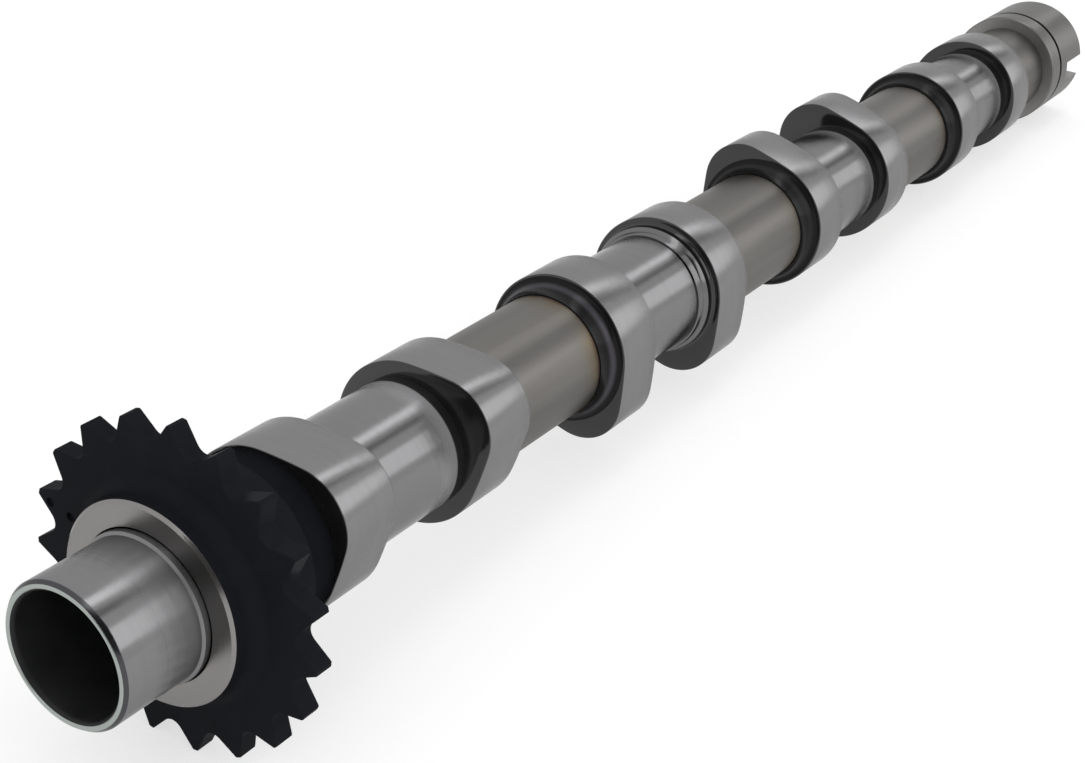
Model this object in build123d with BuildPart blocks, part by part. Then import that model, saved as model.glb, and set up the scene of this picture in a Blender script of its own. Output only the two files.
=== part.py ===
"""Assembled camshaft for one bank of four cylinders.

A hollow steel shaft carries eight pressed-on cam lobes, a chain sprocket near its
nose and a slotted drive end pressed into its far end. Millimetres. The origin is the
centre of the nose end face, +X runs along the shaft to the drive end and +Z is up.
Angles about the shaft are measured from +Y towards +Z.
"""
import os
from math import acos, cos, degrees, radians, sin, tan

from build123d import *

os.makedirs("parts", exist_ok=True)

# Hollow shaft
shaft_radius = 12.5
shaft_wall = 2.08
nose_step = 0.26
nose_chamfer = 0.8
nose_mouth_chamfer = 0.4

# Cylinder spacing along the shaft, and the pair of lobes on each cylinder
first_cylinder = 68.29
cylinder_pitch = 88.04
half_lobe_spacing = 19.48
cylinder_count = 4
nose_directions = [143.7, 233.7, 53.7, 323.7]

# Cam lobes
lobe_width = 12.49
lobe_base_radius = 15.5
lobe_lift = 3.8
lobe_nose_radius = 9.62
lobe_flank_radius = 91.0
collar_wall = 1.5
collar_length = 4.0
collared_lobes = [1, 3, 4, 5, 7]

# Chain sprocket
tooth_count = 19
tip_radius = 28.5
root_radius = 24.5
root_arc_radius = 2.3
flank_half_angle = 42.0
web_front = 21.82
web_thickness = 3.82
thrust_face = 16.88
thrust_radius = 17.2
hub_flare = 2.0
rear_hub_radius = 16.0
rear_hub_clearance = 1.325
mark_radius = 21.3
mark_direction = 13.3
mark_diameter = 1.6
mark_depth = 0.5

# Drive end
drive_clearance = 20.865
drive_length = 25.0
drive_radius = 15.7
seat_step = 0.68
spigot_length = 14.0
groove_offset = 6.2
groove_width = 1.6
groove_depth = 0.9
slot_width = 6.1
slot_depth = 12.5

# Places and radii that follow from the sizes above
bore_radius = shaft_radius - shaft_wall
nose_radius = shaft_radius - nose_step
collar_radius = shaft_radius + collar_wall
spigot_radius = bore_radius + seat_step
cylinders = [first_cylinder + i * cylinder_pitch for i in range(cylinder_count)]
web_back = web_front + web_thickness
hub_back = first_cylinder - half_lobe_spacing - lobe_width / 2 - collar_length - rear_hub_clearance
drive_front = cylinders[-1] + half_lobe_spacing + lobe_width / 2 + drive_clearance
drive_back = drive_front + drive_length
spigot_front = drive_front - spigot_length


def lobe_start(cylinder, side):
    """Front face of the lobe before (side -1) or behind (side 1) a cylinder's journal."""
    return cylinder + side * half_lobe_spacing - lobe_width / 2


def across(station, direction=0.0):
    """Plane square to the shaft, looking along +X, with its own x axis in a direction."""
    turned = (0, cos(radians(direction)), sin(radians(direction)))
    return Plane(origin=(station, 0, 0), x_dir=turned, z_dir=(1, 0, 0))


# Shaft: one size from the thrust face to the drive end, a smaller ground nose, and its
# bore opened out at the far end to seat the drive end's spigot
outline = [
    (0, bore_radius + nose_mouth_chamfer),
    (0, nose_radius - nose_chamfer),
    (nose_chamfer, nose_radius),
    (thrust_face, nose_radius),
    (thrust_face, shaft_radius),
    (drive_front, shaft_radius),
    (drive_front, spigot_radius),
    (spigot_front, spigot_radius),
    (spigot_front, bore_radius),
    (nose_mouth_chamfer, bore_radius),
]
with BuildPart() as shaft_tube:
    with BuildSketch(Plane.XY):
        with BuildLine():
            Polyline(*outline, close=True)
        make_face()
    revolve(axis=Axis.X)
shaft_tube.part.label = "shaft_tube"
export_step(shaft_tube.part, "parts/shaft_tube.step")


# Cam profile: base circle, nose circle and two wide flank arcs tangent to both
nose_offset = lobe_base_radius + lobe_lift - lobe_nose_radius
to_base = lobe_flank_radius - lobe_base_radius
to_nose = lobe_flank_radius - lobe_nose_radius
centre_angle = acos((to_base**2 + nose_offset**2 - to_nose**2) / (2 * to_base * nose_offset))
flank_centre = (to_base * cos(centre_angle), -to_base * sin(centre_angle))
base_angle = 180 - degrees(centre_angle)
reach_x = nose_offset - flank_centre[0]
nose_angle = degrees(acos(reach_x / to_nose))
base_join = (lobe_base_radius * cos(radians(base_angle)), lobe_base_radius * sin(radians(base_angle)))
nose_join = (
    nose_offset + lobe_nose_radius * cos(radians(nose_angle)),
    lobe_nose_radius * sin(radians(nose_angle)),
)
middle_angle = radians((base_angle + nose_angle) / 2)
flank_middle = (
    flank_centre[0] + lobe_flank_radius * cos(middle_angle),
    flank_centre[1] + lobe_flank_radius * sin(middle_angle),
)


def below(point):
    """The same point on the other side of the cam's centre line."""
    return (point[0], -point[1])


# Each cylinder's first lobe has a collar on its front, and so has the second cylinder's
# second lobe.
lobe_places = [
    (cylinder, side, direction)
    for cylinder, direction in zip(cylinders, nose_directions)
    for side in (-1, 1)
]
for number, (cylinder, side, direction) in enumerate(lobe_places, start=1):
    start = lobe_start(cylinder, side)
    with BuildPart() as lobe:
        with BuildSketch(across(start, direction)):
            with BuildLine():
                ThreePointArc(base_join, (-lobe_base_radius, 0), below(base_join))
                ThreePointArc(below(base_join), below(flank_middle), below(nose_join))
                ThreePointArc(below(nose_join), (lobe_base_radius + lobe_lift, 0), nose_join)
                ThreePointArc(nose_join, flank_middle, base_join)
            make_face()
        extrude(amount=lobe_width)
        if number in collared_lobes:
            with BuildSketch(across(start)):
                Circle(collar_radius)
            extrude(amount=-collar_length)
        with BuildSketch(across(start + lobe_width)):
            Circle(shaft_radius)
        extrude(amount=-lobe_width - collar_length, mode=Mode.SUBTRACT)
    name = f"cam_lobe_{number}"
    lobe.part.label = name
    export_step(lobe.part, f"parts/{name}.step")


# A gap between sprocket teeth: an arc at the root with a straight flank on each side
gap_centre = root_radius + root_arc_radius
gap_top = tip_radius + 1
flank_start = (
    gap_centre - root_arc_radius * sin(radians(flank_half_angle)),
    root_arc_radius * cos(radians(flank_half_angle)),
)
flank_end = (gap_top, flank_start[1] + (gap_top - flank_start[0]) * tan(radians(flank_half_angle)))
with BuildSketch() as tooth_gap:
    with BuildLine():
        ThreePointArc(flank_start, (root_radius, 0), below(flank_start))
        Polyline(below(flank_start), below(flank_end), flank_end, flank_start)
    make_face()

# Sprocket: one turned body with a ground thrust face, toothed by cutting the gaps
with BuildPart() as chain_sprocket:
    with BuildSketch(Plane.XY):
        with BuildLine():
            Polyline(
                (thrust_face, shaft_radius),
                (thrust_face, thrust_radius),
                (web_front - hub_flare, thrust_radius),
                (web_front, thrust_radius + hub_flare),
                (web_front, tip_radius),
                (web_back, tip_radius),
                (web_back, rear_hub_radius),
                (hub_back, rear_hub_radius),
                (hub_back, shaft_radius),
                close=True,
            )
        make_face()
    revolve(axis=Axis.X)

    with BuildSketch(across(web_front, 270)):
        with PolarLocations(0, tooth_count):
            add(tooth_gap.sketch)
    extrude(amount=web_thickness, mode=Mode.SUBTRACT)

    # Timing mark drilled in the web
    mark = (mark_radius * cos(radians(mark_direction)), mark_radius * sin(radians(mark_direction)))
    with BuildSketch(across(web_front)):
        with Locations(mark):
            Circle(mark_diameter / 2)
    extrude(amount=mark_depth, mode=Mode.SUBTRACT)
chain_sprocket.part.label = "chain_sprocket"
export_step(chain_sprocket.part, "parts/chain_sprocket.step")


# Drive end: a spigot seated in the shaft and a collar with an oil groove and a cross slot
groove_front = drive_front + groove_offset
groove_back = groove_front + groove_width
with BuildPart() as drive_end:
    with BuildSketch(Plane.XY):
        with BuildLine():
            Polyline(
                (spigot_front, 0),
                (spigot_front, spigot_radius),
                (drive_front, spigot_radius),
                (drive_front, drive_radius),
                (groove_front, drive_radius),
                (groove_front, drive_radius - groove_depth),
                (groove_back, drive_radius - groove_depth),
                (groove_back, drive_radius),
                (drive_back, drive_radius),
                (drive_back, 0),
                close=True,
            )
        make_face()
    revolve(axis=Axis.X)
    with BuildSketch(across(drive_back)):
        Rectangle(2 * drive_radius + 2, slot_width)
    extrude(amount=-slot_depth, mode=Mode.SUBTRACT)
drive_end.part.label = "drive_end"
export_step(drive_end.part, "parts/drive_end.step")
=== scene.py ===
"""Studio scene of an assembled camshaft, laid out as a Blender add-on and run as a script.

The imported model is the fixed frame: metres, +X along the shaft from its nose to its slotted
drive end, +Z up. Every turned piece is spun from a profile by one Geometry Nodes loft.
"""
from math import acos, atan2, cos, hypot, pi, radians, sin, sqrt

import bmesh
import bpy
from bpy.props import FloatProperty, FloatVectorProperty, IntProperty, PointerProperty
from bpy.types import Operator, Panel, PropertyGroup
from mathutils import Matrix, Vector


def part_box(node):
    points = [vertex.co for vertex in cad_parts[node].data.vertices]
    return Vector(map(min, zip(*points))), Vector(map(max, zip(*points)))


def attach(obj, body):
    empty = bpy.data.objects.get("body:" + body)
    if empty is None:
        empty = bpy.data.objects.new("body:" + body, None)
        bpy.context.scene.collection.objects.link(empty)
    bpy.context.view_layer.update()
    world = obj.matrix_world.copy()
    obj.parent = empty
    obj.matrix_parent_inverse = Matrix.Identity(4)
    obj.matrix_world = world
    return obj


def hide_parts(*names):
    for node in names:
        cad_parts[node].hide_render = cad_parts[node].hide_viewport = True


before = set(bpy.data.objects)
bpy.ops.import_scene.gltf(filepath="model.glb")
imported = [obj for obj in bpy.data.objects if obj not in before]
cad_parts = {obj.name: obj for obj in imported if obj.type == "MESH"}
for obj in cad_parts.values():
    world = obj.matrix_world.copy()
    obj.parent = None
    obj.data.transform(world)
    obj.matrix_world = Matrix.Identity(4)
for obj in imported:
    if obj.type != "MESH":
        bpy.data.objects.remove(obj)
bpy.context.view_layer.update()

bl_info = {
    "name": "Camshaft scene",
    "version": (1, 0, 0),
    "blender": (4, 5, 0),
    "location": "3D View > Sidebar > Camshaft",
    "description": "Dresses the camshaft's packed model and sets up its studio",
    "category": "Object",
}

MM = 0.001
ROOT = "root"
LOBE_NAMES = [f"cam_lobe_{number}" for number in range(1, 9)]

# Places that come from the frame
TUBE_LOW, TUBE_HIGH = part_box("shaft_tube")
SPROCKET_LOW, SPROCKET_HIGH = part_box("chain_sprocket")
DRIVE_LOW, DRIVE_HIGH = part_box("drive_end")
SHAFT_RADIUS = TUBE_HIGH[2]
TUBE_END = TUBE_HIGH[0]
LOBE_BACKS = [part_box(name)[1][0] for name in LOBE_NAMES]
LOBE_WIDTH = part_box("cam_lobe_2")[1][0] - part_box("cam_lobe_2")[0][0]
COLLAR_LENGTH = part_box("cam_lobe_1")[1][0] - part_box("cam_lobe_1")[0][0] - LOBE_WIDTH

# The lobes and the sprocket reach a little way into the shaft, so that no gap shows
SEAT = SHAFT_RADIUS - 0.05 * MM
WELD = 0.001 * MM
SHARP_ANGLE = radians(28)


def length(name, description, default):
    """A size property in metres."""
    return FloatProperty(
        name=name, description=description, default=default, unit="LENGTH", subtype="DISTANCE"
    )


def tone(name, description, default):
    """A colour property."""
    return FloatVectorProperty(
        name=name, description=description, default=default, size=3, min=0.0, max=1.0, subtype="COLOR"
    )


def angular(name, description, default):
    """An angle property, with its default in degrees."""
    return FloatProperty(name=name, description=description, default=radians(default), subtype="ANGLE")


def strength(name, description, default):
    """A property that is never below 0."""
    return FloatProperty(name=name, description=description, default=default, min=0.0)


class ShaftSizes(PropertyGroup):
    """Sizes of the hollow shaft that the frame doesn't give."""

    bore_radius: length("Bore radius", "Radius of the hollow in the shaft", 10.42 * MM)
    nose_radius: length("Nose radius", "Radius of the ground nose", 12.24 * MM)
    nose_chamfer: length("Nose chamfer", "Length of the chamfer on the nose's end", 0.8 * MM)
    nose_face: length("Nose face", "Outer radius of the nose's flat end", 11.69 * MM)
    mouth_radius: length("Mouth radius", "Inner radius of the nose's bright rim", 11.05 * MM)
    mouth_depth: length("Mouth depth", "Depth to which the mouth is rounded off", 0.95 * MM)
    shoulder: length("Shoulder", "Width of the narrow shoulder at the nose's root", 1.1 * MM)
    shoulder_step: length("Shoulder step", "Height of the narrow shoulder over the nose", 0.5 * MM)
    seat_radius: length("Seat radius", "Radius of the drive end's seat in the shaft", 11.1 * MM)
    sides: IntProperty(name="Sides", description="Facets round a turned piece", default=256, min=32)


class LobeSizes(PropertyGroup):
    """Sizes of a cam lobe and of its collar."""

    base_radius: length("Base radius", "Radius of the base circle", 15.5 * MM)
    lift: length("Lift", "Height of the nose over the base circle", 3.8 * MM)
    nose_radius: length("Nose radius", "Radius of the rounded nose", 9.62 * MM)
    flank_radius: length("Flank radius", "Radius of the two wide flanks", 91.0 * MM)
    edge: length("Edge", "Rounding of the lobe's rims", 0.22 * MM)
    flare_foot: length("Flare foot", "Wall of a flared collar where it ends on the shaft", 0.25 * MM)
    flare_top: length("Flare top", "Radius at which a flared collar meets the lobe's side", 15.1 * MM)
    step_radius: length("Step radius", "Outer radius of the stepped collar", 13.9 * MM)
    sides: IntProperty(name="Sides", description="Facets round a lobe", default=240, min=48)


class SprocketSizes(PropertyGroup):
    """Sizes of the chain sprocket."""

    tooth_count: IntProperty(name="Teeth", description="Number of teeth", default=19, min=6)
    tip_radius: length("Tip radius", "Radius over the teeth", 28.5 * MM)
    root_radius: length("Root radius", "Radius at the bottom of the gaps", 24.5 * MM)
    root_arc: length("Root arc", "Radius of the arc at the bottom of a gap", 2.3 * MM)
    flank_angle: angular("Flank angle", "Half the angle between a gap's flanks", 42.0)
    web_front: length("Web front", "Distance from the nose's end to the web", 21.82 * MM)
    web_thickness: length("Web thickness", "Thickness of the toothed web", 3.82 * MM)
    thrust_radius: length("Thrust radius", "Outer radius of the thrust face", 17.2 * MM)
    thrust_chamfer: length("Thrust chamfer", "Chamfer round the thrust face", 0.5 * MM)
    mouth_radius: length("Mouth radius", "Radius of the narrow undercut round the shaft", 13.0 * MM)
    mouth_depth: length("Mouth depth", "Depth of the narrow undercut round the shaft", 0.2 * MM)
    fillet: length("Fillet", "Radius between the front hub and the web", 2.8 * MM)
    rear_hub_radius: length("Rear hub radius", "Radius of the hub behind the web", 16.0 * MM)
    edge: length("Edge", "Broken edge of the teeth", 0.22 * MM)
    mark_direction: angular("Mark direction", "Direction of the timing marks", 13.3)
    mark_reach: length("Mark reach", "Distance of the web's timing mark from the axis", 21.3 * MM)
    tooth_mark_reach: length("Tooth mark reach", "Distance of the tooth's mark from the axis", 25.7 * MM)
    mark_radius: length("Mark radius", "Radius of a timing mark", 0.8 * MM)
    mark_depth: length("Mark depth", "Depth of a timing mark", 0.5 * MM)


class DriveSizes(PropertyGroup):
    """Sizes of the slotted drive end."""

    collar_front: length("Collar front", "Where the drive end's collar starts", 379.0 * MM)
    groove_offset: length("Groove offset", "Distance from the collar's front to the groove", 6.2 * MM)
    groove_width: length("Groove width", "Width of the oil groove", 1.6 * MM)
    groove_depth: length("Groove depth", "Depth of the oil groove", 0.9 * MM)
    slot_width: length("Slot width", "Width of the cross slot", 6.1 * MM)
    slot_depth: length("Slot depth", "Depth of the cross slot", 12.5 * MM)
    edge: length("Edge", "Chamfer on the collar's rims", 0.35 * MM)


class Finishes(PropertyGroup):
    """Colours of the camshaft's steels."""

    ground: tone("Ground steel", "Nose and journals", (0.205, 0.204, 0.208))
    # Painted highlight: the nose rim is a lighter, greenish copy of the ground steel
    rim: tone("Nose rim", "Bright rim round the nose's mouth", (0.37, 0.40, 0.38))
    chamfer: tone("Nose chamfer", "Darker chamfer round the nose's end", (0.075, 0.074, 0.08))
    thrust: tone("Thrust face", "Ground ring in front of the sprocket", (0.24, 0.232, 0.225))
    running: tone("Running faces", "Ground faces of the lobes", (0.218, 0.216, 0.220))
    drawn: tone("Plain steel", "Shaft between the cylinders", (0.157, 0.151, 0.142))
    tint: tone("Heat tint", "Straw colour on the shaft in front of some lobes", (0.165, 0.128, 0.078))
    scorch: tone("Scorch", "Brown line where the tinted shaft meets a collar", (0.085, 0.055, 0.042))
    oxide: tone("Oxide", "Black sides of the lobes", (0.006, 0.006, 0.006))
    collar: tone("Collar sheen", "Lilac grey at the foot of a flared collar", (0.16, 0.15, 0.175))
    sprocket: tone("Sprocket", "Matt black sprocket", (0.0084, 0.0089, 0.0108))
    drive: tone("Drive end", "Turned drive end", (0.16, 0.156, 0.152))


class StageSizes(PropertyGroup):
    """The floor, the lamps and the camera."""

    floor_size: length("Floor size", "Side of the floor", 8.0)
    world: strength("World", "Strength of the white surroundings", 1.0)
    top_lamp: strength("Top lamp", "Brightness of the strip above the shaft", 1.5)
    side_lamp: strength("Side lamp", "Brightness of the strip beside the shaft", 0.93)
    lens: FloatProperty(name="Lens", description="Focal length in millimetres", default=60.85, min=1.0)


class Wire:
    """A socket of a node tree, on which sums are written as Python expressions."""

    def __init__(self, nodes, socket):
        self.nodes = nodes
        self.socket = socket

    def other(self, name):
        """Another output of the same node."""
        return Wire(self.nodes, named_socket(self.socket.node.outputs, name))

    def maths(self, operation, *values):
        """A Math node on this socket and up to two more values."""
        settings = {"operation": operation}
        return self.nodes.add("ShaderNodeMath", settings, dict(enumerate((self, *values))))

    def __add__(self, value):
        return self.maths("ADD", value)

    __radd__ = __add__

    def __mul__(self, value):
        return self.maths("MULTIPLY", value)

    __rmul__ = __mul__

    def __sub__(self, value):
        return self.maths("SUBTRACT", value)

    def __rsub__(self, value):
        return self * -1.0 + value

    def __truediv__(self, value):
        return self.maths("DIVIDE", value)

    def __mod__(self, value):
        return self.maths("MODULO", value)

    def __lt__(self, value):
        return self.maths("LESS_THAN", value)


def named_socket(sockets, key):
    """The socket in use with this name or number."""
    if isinstance(key, int):
        return sockets[key]
    return next(socket for socket in sockets if socket.name == key and socket.enabled)


class Nodes:
    """A node tree that is being written."""

    def __init__(self, tree):
        self.tree = tree

    def add(self, kind, settings=None, values=None, out=0):
        """Adds a node, with its settings first and then its sockets' values or links."""
        node = self.tree.nodes.new(kind)
        for name, setting in (settings or {}).items():
            setattr(node, name, setting)
        for key, value in (values or {}).items():
            for one in value if isinstance(value, list) else [value]:
                feed(named_socket(node.inputs, key), one)
        return Wire(self, named_socket(node.outputs, out))


def feed(socket, value):
    """Links a wire to a socket, or sets the socket's value."""
    if isinstance(value, Wire):
        socket.id_data.links.new(value.socket, socket)
    else:
        socket.default_value = value


def material_nodes(name):
    """A new material, its node tree and its Principled shader."""
    material = bpy.data.materials.new(name)
    material.use_nodes = True
    tree = material.node_tree
    tree.nodes.clear()
    shader = tree.nodes.new("ShaderNodeBsdfPrincipled")
    output = tree.nodes.new("ShaderNodeOutputMaterial")
    tree.links.new(shader.outputs[0], output.inputs["Surface"])
    return material, Nodes(tree), shader


def plug(shader, **values):
    """Links or sets the shader's sockets, written with underscores for spaces."""
    for name, value in values.items():
        feed(shader.inputs[name.replace("_", " ")], value)


def point_of(nodes):
    """A point's Object coordinates."""
    return nodes.add("ShaderNodeTexCoord", out="Object")


def place(nodes):
    """The three Object coordinates of a point, one by one."""
    along = nodes.add("ShaderNodeSeparateXYZ", values={0: point_of(nodes)})
    return along, along.other("Y"), along.other("Z")


def noise(at, scale, detail=3.0, roughness=0.5):
    """Soft noise from 0 to 1 at a place."""
    values = {"Vector": at, "Scale": scale, "Detail": detail, "Roughness": roughness}
    return at.nodes.add("ShaderNodeTexNoise", values=values)


def mottle(nodes, scale, detail=3.0, roughness=0.5):
    """Soft noise that is the same in every direction."""
    return noise(point_of(nodes), scale, detail, roughness)


def vector(x, y, z):
    """A vector from three values."""
    return x.nodes.add("ShaderNodeCombineXYZ", values={0: x, 1: y, 2: z})


def mix(mask, first, second):
    """A colour between two, by a mask."""
    values = {"Factor": mask, "A": first, "B": second}
    return mask.nodes.add("ShaderNodeMix", {"data_type": "RGBA"}, values, out="Result")


def shade(colour, factor=1.0):
    """A property's colour as a shader colour, made lighter or darker."""
    return (*(channel * factor for channel in colour), 1.0)


def fade(value, start, end, low=0.0, high=1.0):
    """A value's way from start to end as a smooth number from low to high."""
    values = {"Value": value, "From Min": start, "From Max": end, "To Min": low, "To Max": high}
    settings = {"interpolation_type": "SMOOTHSTEP"}
    return value.nodes.add("ShaderNodeMapRange", settings, values, out="Result")


def bump(height):
    """A normal bent by a height in metres."""
    return height.nodes.add("ShaderNodeBump", values={"Height": height, "Distance": 1.0})


def turning_marks(across, y, z, pitch):
    """Fine marks that run round the shaft, a pitch apart along their way."""
    breaks = 12.0
    return noise(vector(across / pitch, y * breaks, z * breaks), 1.0, 2.0, 0.6)


# The share of light that steel gives back where it is seen edge on
EDGE_TINT = (0.7, 0.7, 0.7, 1.0)


def ground_steel(name, colour, roughness=0.13, grooves=0.012 * MM, faced=False, ends=False):
    """Steel ground round the shaft, or faced square to it: fine grooves smear what it mirrors.

    With ends it follows the photograph: coarser towards the nose's root, and with a painted
    reflection in front of lobes 2, 6 and 8, where the steel is lighter, less metallic and rougher,
    with a narrow black ring where the journal meets them.
    """
    material, nodes, shader = material_nodes(name)
    along, y, z = place(nodes)
    way = radius_of(y, z) if faced else along
    fine = turning_marks(way, y, z, 0.06 * MM)
    broad = turning_marks(way, y, z, 1.7 * MM)
    cloud = mottle(nodes, 90.0)
    tone_mask = broad * 0.5 + fine * 0.25 + cloud * 0.25
    body = mix(tone_mask, shade(colour, 0.9), shade(colour, 1.1))
    depth, coarse, metal = grooves, 0.0, 1.0
    if ends:
        root = SPROCKET_LOW[0]
        coarse = fade(along, 1.0 * MM, root - 3.0 * MM) * (along < root)
        depth = coarse * grooves + grooves
        ring_ahead, ring_blur, reflection_ahead, reflection_blur = 1.9 * MM, 0.35 * MM, 2.0 * MM, 6.0 * MM
        reflection_start = along - (COLLAR_LENGTH - reflection_ahead)
        ring_start = along - (COLLAR_LENGTH - ring_ahead)
        # Painted reflection in front of lobes 2, 6 and 8: lighter, less metallic, rougher steel stands in
        # for the lobe side that the journal mirrors
        painted_reflection = near_collars(reflection_start, {2: 0.85, 6: 0.6, 8: 0.6}, reflection_blur)
        ring = near_collars(ring_start, {2: 1.0, 6: 1.0, 8: 1.0}, ring_blur)
        body = mix(ring, mix(painted_reflection, body, shade(colour, 1.4)), shade(colour, 0.05))
        metal = (1.0 - painted_reflection * 0.72) * (1.0 - ring)
        coarse = coarse + painted_reflection
    plug(
        shader,
        Base_Color=body,
        Roughness=roughness - 0.03 + fine * 0.04 + cloud * 0.04 + coarse * 0.2,
        Metallic=metal,
        Specular_Tint=EDGE_TINT,
        Normal=bump(fine * depth + broad * (0.002 * MM)),
    )
    return material


def radius_of(y, z):
    """A point's distance from the shaft's axis."""
    return (y * y + z * z).maths("SQRT")


def near_collars(along, strengths, reach):
    """A mask that rises towards the collars of some lobes and stays up past each one's front."""
    near = None
    for number, strength in strengths.items():
        collar = LOBE_BACKS[number - 1] - LOBE_WIDTH - COLLAR_LENGTH
        here = fade(along, collar - reach, collar, 0.0, strength) * (along < collar + LOBE_WIDTH)
        near = here if near is None else near.maths("MAXIMUM", here)
    return near


def drawn_steel(finishes):
    """The shaft's plain steel: smooth, warmer, and tinted in front of lobes 3, 5 and 7."""
    material, nodes, shader = material_nodes("plain_shaft_steel")
    along, y, z = place(nodes)
    fine = turning_marks(along, y, z, 0.25 * MM)
    streak = noise(vector(along * 6.0, y * 160.0, z * 160.0), 1.0, 3.0)
    streak = fade(streak, 0.36, 0.64)
    cloud = noise(vector(along * 0.5, y, z), 70.0)
    tone_mask = fine * 0.15 + streak * 0.5 + cloud * 0.35
    body = mix(tone_mask, shade(finishes.drawn, 0.78), shade(finishes.drawn, 1.22))
    ragged = along + (cloud - 0.5) * (3.5 * MM)
    patch = fade(noise(vector(along * 0.2, y, z), 120.0), 0.36, 0.6, 0.2, 1.0)
    tinted = near_collars(ragged, {3: 0.8, 5: 0.4, 7: 0.35}, 6.5 * MM) * patch
    scorched = near_collars(ragged, {3: 0.85, 5: 0.5, 7: 0.5}, 1.7 * MM) * patch
    warm = mix(tinted, body, shade(finishes.tint))
    plug(
        shader,
        Base_Color=mix(scorched, warm, shade(finishes.scorch)),
        Roughness=0.33 + cloud * 0.08 + streak * 0.04,
        Metallic=1.0,
        Specular_Tint=EDGE_TINT,
        Normal=bump(fine * (0.03 * MM)),
    )
    return material


def oxide_black(finishes):
    """The lobes' black sides, polished enough to mirror the journals."""
    material, nodes, shader = material_nodes("lobe_side_black")
    _, y, z = place(nodes)
    cloud = mottle(nodes, 160.0, 4.0)
    ring = turning_marks(radius_of(y, z), y, z, 0.5 * MM)
    plug(
        shader,
        Base_Color=mix(cloud, shade(finishes.oxide, 0.5), shade(finishes.oxide, 1.8)),
        Roughness=0.05 + cloud * 0.07 + ring * 0.03,
        Metallic=0.0,
        IOR=1.55,
        Normal=bump(ring * (0.002 * MM)),
    )
    return material


def collar_black(finishes):
    """The flared collars: black and glossy, with a lilac grey sheen nearer the shaft."""
    material, nodes, shader = material_nodes("collar_black")
    along, y, z = place(nodes)
    cloud = mottle(nodes, 160.0, 4.0)
    ring = turning_marks(along, y, z, 0.4 * MM)
    radius = radius_of(y, z) + (cloud - 0.5) * (0.5 * MM)
    inner = fade(radius, SHAFT_RADIUS + 1.7 * MM, SHAFT_RADIUS + 0.7 * MM)
    lobe_side = along - COLLAR_LENGTH
    sheen = inner * near_collars(lobe_side, {3: 0.75, 5: 0.16, 7: 0.16}, 2.0 * MM)
    plug(
        shader,
        Base_Color=mix(sheen, shade(finishes.oxide), shade(finishes.collar)),
        Roughness=0.12 + cloud * 0.08 + ring * 0.04,
        Metallic=sheen,
        IOR=1.22,
        Normal=bump(ring * (0.004 * MM)),
    )
    return material


def sprocket_black(name, finishes):
    """Matt black oxide with a faint mottle."""
    material, nodes, shader = material_nodes(name)
    grain = mottle(nodes, 2600.0, 2.0)
    cloud = mottle(nodes, 130.0, 4.0, 0.6)
    scuff = fade(mottle(nodes, 420.0, 5.0, 0.7), 0.66, 0.78)
    body = mix(cloud, shade(finishes.sprocket, 0.75), shade(finishes.sprocket, 1.35))
    plug(
        shader,
        Base_Color=mix(scuff * 0.4, body, shade(finishes.sprocket, 3.0)),
        Roughness=0.42 + cloud * 0.14 - scuff * 0.08,
        Metallic=0.0,
        IOR=1.07,
        Normal=bump(grain * (0.012 * MM) + cloud * (0.03 * MM)),
    )
    return material


def hollow_shade_steel(name):
    """Painted shade: near-black steel inside the shaft, round the nose's mouth and in the drive end's
    groove.
    """
    material, nodes, shader = material_nodes(name)
    cloud = mottle(nodes, 220.0, 4.0)
    plug(
        shader,
        Base_Color=mix(cloud, (0.008, 0.0085, 0.0095, 1.0), (0.024, 0.024, 0.026, 1.0)),
        Roughness=0.42 + cloud * 0.2,
        Metallic=0.6,
        Normal=bump(cloud * (0.03 * MM)),
    )
    return material


def drive_face_steel(finishes):
    """The drive end's turned faces, in painted light: the drive end's steel made 1.6 to 2.2 times lighter.
    """
    material, nodes, shader = material_nodes("drive_face_steel")
    _, y, z = place(nodes)
    cloud = mottle(nodes, 240.0, 4.0)
    ring = turning_marks(radius_of(y, z), y, z, 0.35 * MM)
    # Painted light: the faces are a lighter copy of the drive end's steel
    body = mix(cloud * 0.6 + ring * 0.4, shade(finishes.drive, 1.6), shade(finishes.drive, 2.2))
    plug(
        shader,
        Base_Color=body,
        Roughness=0.34 + cloud * 0.12,
        Metallic=1.0,
        Specular_Tint=EDGE_TINT,
        Normal=bump(ring * (0.012 * MM)),
    )
    return material


class Profile:
    """The line that a turned piece is spun from."""

    def __init__(self):
        self.points = []

    def band(self, finish, *places, follow=0.0):
        """Goes on to places, each a distance along the shaft and a radius, with one finish.

        A finish covers what comes after its place. With follow 1, a radius is added to that
        of the outline round the shaft.
        """
        self.points += [(along, radius, finish, follow) for along, radius in places]

    def arc(self, finish, centre, radius, start, end, steps):
        """Goes round an arc, with its angles from the +X direction outwards."""
        for step in range(steps + 1):
            angle = start + (end - start) * step / steps
            self.band(finish, (centre[0] + radius * cos(angle), centre[1] + radius * sin(angle)))

    def close(self):
        """Goes back to the first point."""
        self.points.append(self.points[0])


def linked(name, data):
    """A new object of the scene."""
    thing = bpy.data.objects.new(name, data)
    bpy.context.scene.collection.objects.link(thing)
    return thing


def helper(name, points, numbers=None):
    """A mesh of bare points for a node tree to read, with its attributes."""
    mesh = bpy.data.meshes.new(name)
    mesh.from_pydata(points, [], [])
    for attribute_name, values in (numbers or {}).items():
        kind = "INT" if isinstance(values[0], int) else "FLOAT"
        mesh.attributes.new(attribute_name, kind, "POINT").data.foreach_set("value", values)
    return linked(name, mesh)


def profile_helper(name, profile):
    """A profile as points and attributes."""
    along, radii, finishes, follows = zip(*profile.points)
    points = [(x, 0.0, radius) for x, radius in zip(along, radii)]
    return helper(name, points, {"finish": finishes, "follow": follows})


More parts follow.
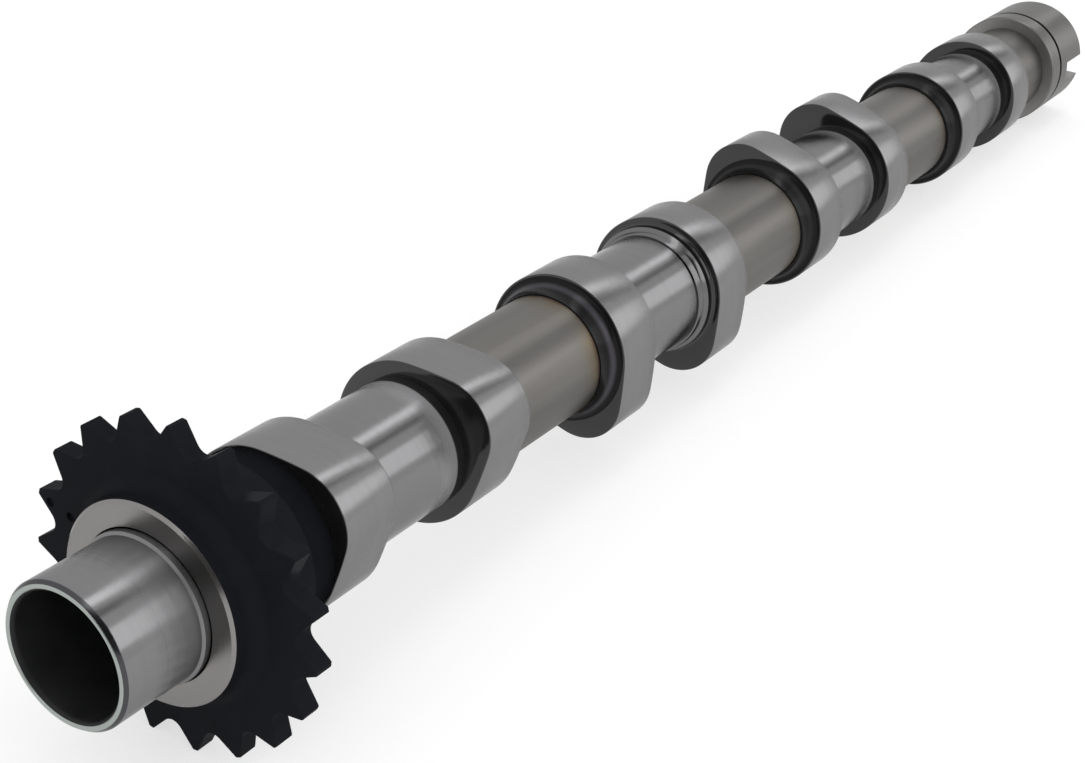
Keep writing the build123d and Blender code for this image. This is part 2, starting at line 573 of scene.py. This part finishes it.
def outline_helper(name, outline):
    """An outline round the shaft, given as angles from +Y towards +Z and radii."""
    return helper(name, [(0.0, radius * cos(angle), radius * sin(angle)) for angle, radius in outline])


def round_outline(sides):
    """A circle, of which the loft reads only the directions."""
    return [(2 * pi * side / sides, 1.0) for side in range(sides)]


FINISH_SOCKETS = [f"Finish {number}" for number in range(5)]


def geometry_tree(name, helpers):
    """A tree that reads helper objects, as its writer, its input wires and its output."""
    inputs = dict.fromkeys(helpers, "NodeSocketObject")
    inputs["Weld"] = "NodeSocketFloat"
    inputs.update(dict.fromkeys(FINISH_SOCKETS, "NodeSocketMaterial"))
    tree = bpy.data.node_groups.new(name, "GeometryNodeTree")
    for socket_name, kind in inputs.items():
        tree.interface.new_socket(name=socket_name, in_out="INPUT", socket_type=kind)
    tree.interface.new_socket(name="Geometry", in_out="OUTPUT", socket_type="NodeSocketGeometry")
    group_in = tree.nodes.new("NodeGroupInput")
    nodes = Nodes(tree)
    wires = {socket_name: Wire(nodes, group_in.outputs[socket_name]) for socket_name in inputs}
    return nodes, wires, tree.nodes.new("NodeGroupOutput")


def attribute(nodes, name, kind):
    """A named attribute of the geometry."""
    return nodes.add("GeometryNodeInputNamedAttribute", {"data_type": kind}, {"Name": name}, "Attribute")


def equal(value, number):
    """Whether a whole number is this one."""
    settings = {"data_type": "INT", "operation": "EQUAL"}
    return value.nodes.add("FunctionNodeCompare", settings, {"A": value, "B": number})


def point_count(mesh):
    """The number of points of a mesh."""
    settings = {"component": "MESH"}
    return mesh.nodes.add("GeometryNodeAttributeDomainSize", settings, {0: mesh}, "Point Count")


def lofted(nodes, profile, outline, weld):
    """Nodes that spin a profile along an outline. A point that follows adds the outline's radius."""
    line = nodes.add("GeometryNodeObjectInfo", values={"Object": profile}, out="Geometry")
    loop = nodes.add("GeometryNodeObjectInfo", values={"Object": outline}, out="Geometry")
    rows, columns = point_count(line), point_count(loop)
    across = columns + 1.0
    grid = nodes.add("GeometryNodeMeshGrid", values={"Vertices X": rows, "Vertices Y": across}, out="Mesh")
    index = nodes.add("GeometryNodeInputIndex")
    row = ((index + 0.5) / across).maths("FLOOR")
    column = (index - row * across + 0.5) % columns

    def read(geometry, at, kind, value):
        values = {"Geometry": geometry, "Value": value, "Index": at}
        return nodes.add("GeometryNodeSampleIndex", {"data_type": kind, "domain": "POINT"}, values, "Value")

    position = nodes.add("GeometryNodeInputPosition")
    spot = nodes.add("ShaderNodeSeparateXYZ", values={0: read(line, row, "FLOAT_VECTOR", position)})
    rim = read(loop, column, "FLOAT_VECTOR", position)
    reach = nodes.add("ShaderNodeVectorMath", {"operation": "LENGTH"}, {0: rim}, "Value")
    follow = read(line, row, "FLOAT", attribute(nodes, "follow", "FLOAT"))
    radius = spot.other("Z") + follow * reach
    turned = nodes.add("ShaderNodeVectorMath", {"operation": "SCALE"}, {0: rim, "Scale": radius / reach})
    shift = vector(spot, 0.0, 0.0)
    where = nodes.add("ShaderNodeVectorMath", {"operation": "ADD"}, {0: turned, 1: shift})
    face_row = ((index + 0.5) / columns).maths("FLOOR")
    finish = read(line, face_row, "INT", attribute(nodes, "finish", "INT"))
    values = {"Geometry": grid, "Name": "finish", "Value": finish}
    banded = nodes.add("GeometryNodeStoreNamedAttribute", {"data_type": "INT", "domain": "FACE"}, values)
    spun = nodes.add("GeometryNodeSetPosition", values={"Geometry": banded, "Position": where})
    return nodes.add("GeometryNodeMergeByDistance", values={"Geometry": spun, "Distance": weld})


def finished(nodes, wires, output, geometry):
    """Ends a tree: instances are made real and each finish gets its material."""
    made = nodes.add("GeometryNodeRealizeInstances", values={"Geometry": geometry})
    finish = attribute(nodes, "finish", "INT")
    for number, name in enumerate(FINISH_SOCKETS):
        values = {"Geometry": made, "Selection": equal(finish, number), "Material": wires[name]}
        made = nodes.add("GeometryNodeSetMaterial", values=values)
    feed(output.inputs[0], made)
    return nodes.tree


def turned_tree():
    """The tree that makes one turned piece."""
    nodes, wires, output = geometry_tree("turned_piece", ["Profile", "Outline"])
    body = lofted(nodes, wires["Profile"], wires["Outline"], wires["Weld"])
    return finished(nodes, wires, output, body)


def lobes_tree(styles):
    """The tree that sets each style of lobe on its places along the shaft."""
    profiles = [f"Profile {style}" for style in styles]
    nodes, wires, output = geometry_tree("lobes_on_shaft", ["Places", "Outline"] + profiles)
    spots = nodes.add("GeometryNodeObjectInfo", values={"Object": wires["Places"]}, out="Geometry")
    turned = vector(attribute(nodes, "turn", "FLOAT"), 0.0, 0.0)
    style = attribute(nodes, "style", "INT")
    sets = []
    for number, profile in enumerate(profiles):
        lobe = lofted(nodes, wires[profile], wires["Outline"], wires["Weld"])
        chosen = equal(style, number)
        values = {"Points": spots, "Selection": chosen, "Instance": lobe, "Rotation": turned}
        sets.append(nodes.add("GeometryNodeInstanceOnPoints", values=values))
    joined = nodes.add("GeometryNodeJoinGeometry", values={"Geometry": sets})
    return finished(nodes, wires, output, joined)


def grown(name, tree, values):
    """A piece made by a tree with these inputs, turned into a plain mesh."""
    piece = linked(name, bpy.data.meshes.new(name))
    modifier = piece.modifiers.new("Shape", "NODES")
    modifier.node_group = tree
    values = {"Weld": WELD, **values}
    for item in tree.interface.items_tree:
        if item.in_out == "INPUT" and item.name in values:
            modifier[item.identifier] = values[item.name]
    settle(piece)
    for value in values.values():
        if isinstance(value, bpy.types.Object):
            bpy.data.objects.remove(value)
    return piece


def spun_piece(name, profile, outline, steels):
    """A piece spun from a profile along an outline, with its finishes in their order."""
    values = dict(zip(FINISH_SOCKETS, steels))
    values["Profile"] = profile_helper(f"{name}_profile", profile)
    values["Outline"] = outline_helper(f"{name}_outline", outline)
    return grown(name, turned_tree(), values)


def settle(piece):
    """Turns a piece's evaluated shape into its plain mesh and takes its modifiers off."""
    bpy.context.view_layer.update()
    evaluated = piece.evaluated_get(bpy.context.evaluated_depsgraph_get())
    mesh = bpy.data.meshes.new_from_object(evaluated)
    piece.modifiers.clear()
    piece.data = mesh
    mesh.name = piece.name


def turn_outwards(mesh):
    """Points a closed mesh's faces outwards."""
    shape = bmesh.new()
    shape.from_mesh(mesh)
    bmesh.ops.recalc_face_normals(shape, faces=shape.faces)
    shape.to_mesh(mesh)
    shape.free()


def dress(piece, nodes):
    """Outward faces, smooth shading with crisp edges, and the piece's place in the frame."""
    turn_outwards(piece.data)
    piece.data.shade_smooth()
    piece.data.set_sharp_from_angle(angle=SHARP_ANGLE)
    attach(piece, ROOT)
    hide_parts(*nodes)


def cut(piece, tools):
    """Cuts closed meshes out of a piece."""
    for tool in tools:
        modifier = piece.modifiers.new("Cut", "BOOLEAN")
        modifier.operation = "DIFFERENCE"
        modifier.solver = "EXACT"
        modifier.object = tool
    settle(piece)
    for tool in tools:
        bpy.data.objects.remove(tool)


def solid(name, points, faces, material):
    """A closed mesh to cut with, whose material the cut faces take."""
    mesh = bpy.data.meshes.new(name)
    mesh.from_pydata(points, [], faces)
    mesh.materials.append(material)
    turn_outwards(mesh)
    return linked(name, mesh)


class CAMSHAFT_OT_shaft(Operator):
    """Make the hollow shaft with its ground nose and journals"""

    bl_idname = "camshaft.shaft"
    bl_label = "Hollow shaft"

    def execute(self, context):
        sizes = context.scene.camshaft_shaft
        finishes = context.scene.camshaft_finishes
        nose, thrust = TUBE_LOW[0], SPROCKET_LOW[0]
        bore, mouth, journal = sizes.bore_radius, sizes.mouth_radius, sizes.nose_radius
        # The inside finish is painted shade: the bore and the rounding of the nose's mouth are near black
        ground, plain, inside, rim, chamfer = range(5)
        broken = 0.1 * MM
        chamfer_back = nose + sizes.nose_chamfer
        shoulder, shoulder_radius = thrust - sizes.shoulder, journal + sizes.shoulder_step
        under_sprocket, shoulder_slope = thrust + 0.6 * MM, 0.3 * MM
        line = Profile()
        line.band(rim, (nose + 0.12 * MM, mouth - 0.15 * MM), (nose, mouth))
        line.band(rim, (nose, sizes.nose_face - broken))
        line.band(chamfer, (nose + broken, sizes.nose_face))
        line.band(ground, (chamfer_back - broken, journal - 0.06 * MM), (chamfer_back + broken, journal))
        line.band(ground, (shoulder - shoulder_slope, journal), (shoulder, shoulder_radius))
        line.band(inside, (under_sprocket, shoulder_radius))
        line.band(plain, (under_sprocket, SHAFT_RADIUS))
        fronts = [back - LOBE_WIDTH for back in LOBE_BACKS]
        for first, second in zip(fronts[0::2], LOBE_BACKS[1::2]):
            line.band(ground, (first + LOBE_WIDTH / 2, SHAFT_RADIUS))
            line.band(plain, (second - LOBE_WIDTH / 2, SHAFT_RADIUS))
        line.band(inside, (TUBE_END, SHAFT_RADIUS), (TUBE_END, sizes.seat_radius))
        line.band(inside, (DRIVE_LOW[0], sizes.seat_radius), (DRIVE_LOW[0], bore))
        rounded = (nose + sizes.mouth_depth * 0.45, bore + (mouth - bore) * 0.3)
        line.band(inside, (nose + sizes.mouth_depth, bore), rounded)
        line.close()
        steels = [
            ground_steel("ground_journal_steel", finishes.ground, ends=True),
            drawn_steel(finishes),
            hollow_shade_steel("bore_dark"),
            # Painted highlight on the nose's flat end and the lip of its mouth
            ground_steel("nose_rim_steel", finishes.rim, 0.3, 0.01 * MM, faced=True),
            ground_steel("nose_chamfer_steel", finishes.chamfer, 0.2, 0.01 * MM, faced=True),
        ]
        piece = spun_piece("hollow_shaft", line, round_outline(sizes.sides), steels)
        dress(piece, ["shaft_tube"])
        return {"FINISHED"}


def cam_outline(sizes):
    """A cam's outline round the shaft: base circle, nose circle and two tangent flanks."""
    offset = sizes.base_radius + sizes.lift - sizes.nose_radius
    to_base = sizes.flank_radius - sizes.base_radius
    to_nose = sizes.flank_radius - sizes.nose_radius
    lean = acos((to_base**2 + offset**2 - to_nose**2) / (2 * to_base * offset))
    flank = (to_base * cos(lean), -to_base * sin(lean))
    nose_turn = acos((offset - flank[0]) / to_nose)
    nose_join = (offset + sizes.nose_radius * cos(nose_turn), sizes.nose_radius * sin(nose_turn))
    nose_end, flank_end = atan2(nose_join[1], nose_join[0]), pi - lean

    def reach(angle):
        """Distance from the axis to the outline in a direction from the nose."""
        if angle <= nose_end:
            centre, radius = (offset, 0.0), sizes.nose_radius
        elif angle <= flank_end:
            centre, radius = flank, sizes.flank_radius
        else:
            return sizes.base_radius
        ahead = centre[0] * cos(angle) + centre[1] * sin(angle)
        aside = centre[1] * cos(angle) - centre[0] * sin(angle)
        return ahead + sqrt(radius**2 - aside**2)

    return [(angle, reach(min(angle, 2 * pi - angle))) for angle, _ in round_outline(sizes.sides)]


def lobe_line(sizes, style):
    """A lobe's profile from its front face at 0, with a flared, a stepped or no collar."""
    running, side, collar, bright, matt = range(5)
    edge, front = sizes.edge, -COLLAR_LENGTH
    line = Profile()
    if style in ("flared", "matt flared"):
        collar = matt if style == "matt flared" else collar
        foot, steps = SHAFT_RADIUS + sizes.flare_foot, 14
        line.band(collar, (front, SEAT), (front, foot))
        for step in range(1, steps + 1):
            turn = pi / 2 * step / steps
            radius = sizes.flare_top - (sizes.flare_top - foot) * cos(turn)
            line.band(collar, (front + COLLAR_LENGTH * sin(turn), radius))
        line.band(side, (0.0, sizes.flare_top))
    elif style == "stepped":
        top, fillet = sizes.step_radius, 0.9 * MM
        line.band(bright, (front, SEAT), (front, SHAFT_RADIUS + 0.3 * MM))
        line.band(bright, (front + 0.3 * MM, SHAFT_RADIUS + 0.55 * MM))
        line.band(bright, (front + 1.3 * MM, SHAFT_RADIUS + 0.7 * MM))
        line.band(bright, (front + 1.7 * MM, top - 0.25 * MM))
        line.band(collar, (front + 2.1 * MM, top), (-fillet, top))
        line.arc(side, (-fillet, top + fillet), fillet, -pi / 2, 0.0, 6)
    else:
        line.band(side, (0.0, SEAT))
    inner = edge * 0.3
    line.band(side, (0.0, -edge), (inner, -inner), follow=1.0)
    line.band(running, (edge, 0.0), follow=1.0)
    line.band(side, (LOBE_WIDTH - edge, 0.0), (LOBE_WIDTH - inner, -inner), follow=1.0)
    line.band(side, (LOBE_WIDTH, -edge), follow=1.0)
    line.band(side, (LOBE_WIDTH, SEAT))
    line.close()
    return line


LOBE_STYLES = ["plain", "stepped", "flared", "matt flared"]
LOBE_CUTS = ["matt flared", "plain", "flared", "stepped", "flared", "plain", "flared", "plain"]
NOSE_DIRECTIONS = [radians(143.7), radians(233.7), radians(53.7), radians(323.7)]


class CAMSHAFT_OT_lobes(Operator):
    """Make the eight cam lobes"""

    bl_idname = "camshaft.lobes"
    bl_label = "Cam lobes"

    def execute(self, context):
        sizes = context.scene.camshaft_lobe
        finishes = context.scene.camshaft_finishes
        # Painted shade: the stepped collar is the ground steel made darker, at 0.74 of its colour
        stepped = shade(finishes.ground, 0.74)[:3]
        places = [(back - LOBE_WIDTH, 0.0, 0.0) for back in LOBE_BACKS]
        numbers = {
            "turn": [NOSE_DIRECTIONS[number // 2] for number in range(len(LOBE_NAMES))],
            "style": [LOBE_STYLES.index(style) for style in LOBE_CUTS],
        }
        steels = [
            ground_steel("lobe_running_steel", finishes.running, 0.2, 0.019 * MM),
            oxide_black(finishes),
            collar_black(finishes),
            ground_steel("stepped_collar_steel", stepped, 0.14, 0.005 * MM),
            sprocket_black("matt_collar_black", finishes),
        ]
        values = dict(zip(FINISH_SOCKETS, steels))
        values["Places"] = helper("lobe_places", places, numbers)
        values["Outline"] = outline_helper("cam_outline", cam_outline(sizes))
        for style in LOBE_STYLES:
            values[f"Profile {style}"] = profile_helper(f"{style}_lobe_line", lobe_line(sizes, style))
        piece = grown("cam_lobes", lobes_tree(LOBE_STYLES), values)
        dress(piece, LOBE_NAMES)
        return {"FINISHED"}


def tooth_outline(sizes):
    """The toothed rim: an arc at each root, straight flanks and a short tip, by formula."""
    lean = sizes.flank_angle
    centre = sizes.root_radius + sizes.root_arc
    half_pitch = pi / sizes.tooth_count
    root_steps, flank_steps, tip_steps = 5, 4, 3
    half = []
    for step in range(root_steps + 1):
        turn = (pi / 2 - lean) * step / root_steps
        half.append((centre - sizes.root_arc * cos(turn), sizes.root_arc * sin(turn)))
    foot = half[-1]
    along = foot[0] * cos(lean) + foot[1] * sin(lean)
    run = -along + sqrt(along**2 - foot[0] ** 2 - foot[1] ** 2 + sizes.tip_radius**2)
    for step in range(1, flank_steps + 1):
        gone = run * step / flank_steps
        half.append((foot[0] + gone * cos(lean), foot[1] + gone * sin(lean)))
    polar = [(atan2(y, x), hypot(x, y)) for x, y in half]
    tip_start = polar[-1][0]
    for step in range(1, tip_steps + 1):
        polar.append((tip_start + (half_pitch - tip_start) * step / tip_steps, sizes.tip_radius))
    gap = [(-angle, radius) for angle, radius in reversed(polar[1:-1])] + polar
    bottom = -pi / 2
    return [
        (bottom + 2 * half_pitch * tooth + angle, radius)
        for tooth in range(sizes.tooth_count)
        for angle, radius in gap
    ]


def mark_tool(sizes, reach, material):
    """A small closed drill with a flat cone at its end, for a timing mark."""
    centre_y, centre_z = reach * cos(sizes.mark_direction), reach * sin(sizes.mark_direction)
    sides, cone, lead = 24, 0.2 * MM, 1.0 * MM
    front, back = sizes.web_front - lead, sizes.web_front + sizes.mark_depth
    points = []
    for along in (front, back):
        for turn, _ in round_outline(sides):
            aside, up = sizes.mark_radius * cos(turn), sizes.mark_radius * sin(turn)
            points.append((along, centre_y + aside, centre_z + up))
    points += [(front, centre_y, centre_z), (back + cone, centre_y, centre_z)]
    faces = []
    for side in range(sides):
        after = (side + 1) % sides
        faces.append((side, after, sides + after, sides + side))
        faces.append((side, after, 2 * sides))
        faces.append((sides + side, sides + after, 2 * sides + 1))
    return solid("mark_tool", points, faces, material)


class CAMSHAFT_OT_sprocket(Operator):
    """Make the chain sprocket with its thrust face and timing marks"""

    bl_idname = "camshaft.sprocket"
    bl_label = "Chain sprocket"

    def execute(self, context):
        sizes = context.scene.camshaft_sprocket
        finishes = context.scene.camshaft_finishes
        black, thrust = range(2)
        front, hub_back = SPROCKET_LOW[0], SPROCKET_HIGH[0]
        web_front, web_back = sizes.web_front, sizes.web_front + sizes.web_thickness
        edge, chamfer, fillet = sizes.edge, sizes.thrust_chamfer, sizes.fillet
        mouth, pocket = sizes.mouth_radius, front + 1.5 * MM
        mouth_slope, rim_start = 0.15 * MM, sizes.root_radius - 1.2 * MM
        hub, hub_chamfer, hub_fillet = sizes.rear_hub_radius, 0.4 * MM, 1.0 * MM
        line = Profile()
        line.band(black, (pocket, SEAT), (pocket, mouth - mouth_slope))
        line.band(thrust, (front + sizes.mouth_depth, mouth - mouth_slope), (front, mouth))
        line.band(thrust, (front, sizes.thrust_radius - chamfer))
        line.band(black, (front + chamfer, sizes.thrust_radius))
        line.arc(black, (web_front - fillet, sizes.thrust_radius + fillet), fillet, -pi / 2, 0.0, 10)
        line.band(black, (web_front, rim_start))
        line.band(black, (web_front, -edge), (web_front + edge, 0.0), follow=1.0)
        line.band(black, (web_back - edge, 0.0), (web_back, -edge), follow=1.0)
        line.band(black, (web_back, rim_start), (web_back, hub + hub_fillet))
        line.arc(black, (web_back + hub_fillet, hub + hub_fillet), hub_fillet, pi, 1.5 * pi, 6)
        line.band(black, (hub_back - hub_chamfer, hub), (hub_back, hub - hub_chamfer), (hub_back, SEAT))
        line.close()
        sprocket_finish = sprocket_black("sprocket_black", finishes)
        thrust_finish = ground_steel("thrust_face_steel", finishes.thrust, 0.2, 0.01 * MM, faced=True)
        steels = [sprocket_finish, thrust_finish]
        piece = spun_piece("toothed_sprocket", line, tooth_outline(sizes), steels)
        reaches = (sizes.mark_reach, sizes.tooth_mark_reach)
        cut(piece, [mark_tool(sizes, reach, sprocket_finish) for reach in reaches])
        dress(piece, ["chain_sprocket"])
        return {"FINISHED"}


class CAMSHAFT_OT_drive_end(Operator):
    """Make the grooved and slotted drive end"""

    bl_idname = "camshaft.drive_end"
    bl_label = "Drive end"

    def execute(self, context):
        sizes, shaft = context.scene.camshaft_drive, context.scene.camshaft_shaft
        finishes = context.scene.camshaft_finishes
        # The groove's finish is painted shade
        rim, faces, groove_shade = range(3)
        radius, back = DRIVE_HIGH[1], DRIVE_HIGH[0]
        front, edge = sizes.collar_front, sizes.edge
        spigot, seat = DRIVE_LOW[0], shaft.seat_radius
        groove = front + sizes.groove_offset
        groove_back = groove + sizes.groove_width
        floor = radius - sizes.groove_depth
        front_lip, back_lip = 0.2 * MM, 0.15 * MM
        line = Profile()
        line.band(faces, (spigot, 0.0), (spigot, seat), (front, seat))
        line.band(rim, (front, radius - edge), (front + edge, radius))
        line.band(groove_shade, (groove - front_lip, radius), (groove, radius - front_lip), (groove, floor))
        line.band(groove_shade, (groove_back, floor))
        line.band(rim, (groove_back, radius - back_lip), (groove_back + back_lip, radius))
        line.band(rim, (back - edge, radius))
        line.band(faces, (back, radius - edge), (back, 0.0))
        face_finish = drive_face_steel(finishes)
        rim_finish = ground_steel("drive_rim_steel", finishes.drive, 0.32)
        steels = [rim_finish, face_finish, hollow_shade_steel("groove_dark")]
        piece = spun_piece("slotted_end", line, round_outline(shaft.sides), steels)
        half, clear = sizes.slot_width / 2, 1.0 * MM
        ends = (back - sizes.slot_depth, back + clear)
        reach = radius + clear
        corners = [(x, y, z) for x in ends for y in (-reach, reach) for z in (-half, half)]
        sides = [(0, 1, 3, 2), (4, 6, 7, 5), (0, 4, 5, 1), (2, 3, 7, 6), (0, 2, 6, 4), (1, 5, 7, 3)]
        cut(piece, [solid("slot_tool", corners, sides, face_finish)])
        dress(piece, ["drive_end"])
        return {"FINISHED"}


# The camera fitted to the photograph
CAMERA_PLACE = Vector((-0.14806, -0.16343, 0.16068))
CAMERA_RIGHT = Vector((0.5446, -0.8352, 0.0760)).normalized()
CAMERA_BACKWARD = CAMERA_RIGHT.cross(Vector((0.3482, 0.3076, 0.8855))).normalized()

# Lamps and cards beside the shaft's middle, with their directions from +Y towards +Z
MIDDLE = Vector((0.2, 0.0, 0.0))
ALONG = Vector((1.0, 0.0, 0.0))
STRIP_LENGTH, STRIP_DISTANCE = 4.4, 0.7
TOP_DIRECTION, TOP_WIDTH = radians(93), 0.15
SIDE_DIRECTION, SIDE_WIDTH = radians(150), 0.38
FLAG_DIRECTION, FLAG_DISTANCE, FLAG_GREY = radians(112), 0.65, 0.4
FLAG_HALF_LENGTH, FLAG_HALF_WIDTH = 2.2, 0.058
CARD_DISTANCE, CARD_GREY = 0.1, 0.08
CARD_HALF_WIDTH, CARD_HALF_HEIGHT = 0.2, 0.17


def outwards(angle):
    """The direction away from the shaft at an angle from +Y towards +Z."""
    return Vector((0.0, cos(angle), sin(angle)))


def floor_material():
    """A pale floor that shows white, with a faint shadow, to the camera and to gloss."""
    material, nodes, shader = material_nodes("pale_floor")
    plug(shader, Base_Color=(0.93, 0.93, 0.93, 1.0), Roughness=0.9, Specular_IOR_Level=0.0)
    seen = nodes.add("ShaderNodeLightPath", out="Is Camera Ray")
    path = seen
    for kind in ("Is Glossy Ray", "Is Transmission Ray"):
        seen = seen.maths("MAXIMUM", path.other(kind))
    white = nodes.add("ShaderNodeEmission", values={"Color": (1.0, 1.0, 1.0, 1.0), "Strength": 1.0})
    body = Wire(nodes, shader.outputs[0])
    both = nodes.add("ShaderNodeMixShader", values={0: seen * 0.6, 1: body, 2: white})
    output = next(node for node in material.node_tree.nodes if node.type == "OUTPUT_MATERIAL")
    material.node_tree.links.new(both.socket, output.inputs["Surface"])
    return material


def strip_lamp(name, angle, width, brightness):
    """A long soft lamp beside the shaft, at an angle from +Y towards +Z, facing its axis."""
    lamp = bpy.data.lights.new(name, "AREA")
    lamp.shape = "RECTANGLE"
    lamp.size = STRIP_LENGTH
    lamp.size_y = width
    lamp.energy = brightness * pi * STRIP_LENGTH * width
    out = outwards(angle)
    linked(name, lamp).matrix_world = turned_matrix(MIDDLE + out * STRIP_DISTANCE, ALONG, out)


def turned_matrix(origin, right, backward):
    """A placing matrix from a place, its own +X and its own +Z."""
    up = backward.cross(right)
    matrix = Matrix((right, up, backward)).transposed().to_4x4()
    matrix.translation = origin
    return matrix


def flat_piece(name, corners, material):
    """A flat piece with four corners."""
    mesh = bpy.data.meshes.new(name)
    mesh.from_pydata(corners, [], [(0, 1, 2, 3)])
    mesh.materials.append(material)
    return linked(name, mesh)


def studio_card(name, middle, across, upwards, grey):
    """A card that the steel mirrors and that neither the camera nor the floor sees."""
    low, high = middle - upwards, middle + upwards
    material, _, shader = material_nodes(name)
    plug(shader, Base_Color=(grey, grey, grey, 1.0), Roughness=1.0, Specular_IOR_Level=0.0)
    thing = flat_piece(name, [low - across, low + across, high + across, high - across], material)
    thing.visible_camera = False
    thing.visible_shadow = False
    thing.visible_diffuse = False


class CAMSHAFT_OT_stage(Operator):
    """Set up the floor, the lamps, the surroundings and the camera"""

    bl_idname = "camshaft.stage"
    bl_label = "Studio"

    def execute(self, context):
        sizes = context.scene.camshaft_stage
        scene = context.scene
        self.floor(sizes)
        world = bpy.data.worlds.new("white_surroundings")
        world.use_nodes = True
        background = world.node_tree.nodes["Background"]
        background.inputs["Color"].default_value = (1.0, 1.0, 1.0, 1.0)
        background.inputs["Strength"].default_value = sizes.world
        scene.world = world
        strip_lamp("top_strip", TOP_DIRECTION, TOP_WIDTH, sizes.top_lamp)
        strip_lamp("side_strip", SIDE_DIRECTION, SIDE_WIDTH, sizes.side_lamp)
        flag = MIDDLE + outwards(FLAG_DIRECTION) * FLAG_DISTANCE
        aside = outwards(FLAG_DIRECTION + pi / 2) * FLAG_HALF_WIDTH
        studio_card("grey_flag", flag, ALONG * FLAG_HALF_LENGTH, aside, FLAG_GREY)
        behind = CAMERA_PLACE + CAMERA_BACKWARD * CARD_DISTANCE
        upwards = CAMERA_BACKWARD.cross(CAMERA_RIGHT) * CARD_HALF_HEIGHT
        studio_card("camera_card", behind, CAMERA_RIGHT * CARD_HALF_WIDTH, upwards, CARD_GREY)
        self.camera(sizes)
        scene.view_settings.view_transform = "Standard"
        return {"FINISHED"}

    def floor(self, sizes):
        """A floor that touches the lowest tooth and the drive end's collar."""
        tooth_x, tooth_z = (SPROCKET_LOW[0] + SPROCKET_HIGH[0]) / 2, SPROCKET_LOW[2]
        collar_x, collar_z = (TUBE_END + DRIVE_HIGH[0]) / 2, DRIVE_LOW[2]
        slope = (collar_z - tooth_z) / (collar_x - tooth_x)
        half = sizes.floor_size / 2
        points = [
            (x, y, tooth_z + slope * (x - tooth_x))
            for x, y in ((-half, -half), (half, -half), (half, half), (-half, half))
        ]
        floor = flat_piece("studio_floor", points, floor_material())

    def camera(self, sizes):
        """The camera at the photograph's place."""
        camera = bpy.data.cameras.new("photo_camera")
        camera.lens = sizes.lens
        camera.sensor_width = 36.0
        camera.shift_x = 0.0014
        camera.shift_y = -0.0063
        camera.clip_start = 0.01
        camera.clip_end = 50.0
        thing = linked("photo_camera", camera)
        thing.matrix_world = turned_matrix(CAMERA_PLACE, CAMERA_RIGHT, CAMERA_BACKWARD)
        bpy.context.scene.camera = thing


class CAMSHAFT_PT_panel(Panel):
    """Lists the camshaft's pieces in the sidebar"""

    bl_idname = "CAMSHAFT_PT_panel"
    bl_label = "Camshaft"
    bl_space_type = "VIEW_3D"
    bl_region_type = "UI"
    bl_category = "Camshaft"

    def draw(self, context):
        for operator in OPERATORS:
            self.layout.operator(operator.bl_idname)
        for name in SETTINGS:
            box = self.layout.box()
            settings = getattr(context.scene, name)
            for field in settings.__annotations__:
                box.prop(settings, field)


SETTINGS = {
    "camshaft_shaft": ShaftSizes,
    "camshaft_lobe": LobeSizes,
    "camshaft_sprocket": SprocketSizes,
    "camshaft_drive": DriveSizes,
    "camshaft_finishes": Finishes,
    "camshaft_stage": StageSizes,
}
OPERATORS = [
    CAMSHAFT_OT_shaft,
    CAMSHAFT_OT_lobes,
    CAMSHAFT_OT_sprocket,
    CAMSHAFT_OT_drive_end,
    CAMSHAFT_OT_stage,
]
CLASSES = [*SETTINGS.values(), *OPERATORS, CAMSHAFT_PT_panel]


def register():
    """Register the settings, the operators and the panel."""
    for kind in CLASSES:
        bpy.utils.register_class(kind)
    for name, group in SETTINGS.items():
        setattr(bpy.types.Scene, name, PointerProperty(type=group))


def unregister():
    """Take them out again."""
    for name in SETTINGS:
        delattr(bpy.types.Scene, name)
    for kind in reversed(CLASSES):
        bpy.utils.unregister_class(kind)


def plain(bounds):
    """Bounds as plain lists of numbers."""
    return [[float(value) for value in corner] for corner in bounds]


def main():
    """Make the scene."""
    register()
    bpy.ops.camshaft.shaft()
    bpy.ops.camshaft.lobes()
    bpy.ops.camshaft.sprocket()
    bpy.ops.camshaft.drive_end()
    bpy.ops.camshaft.stage()


if __name__ == "__main__":
    main()
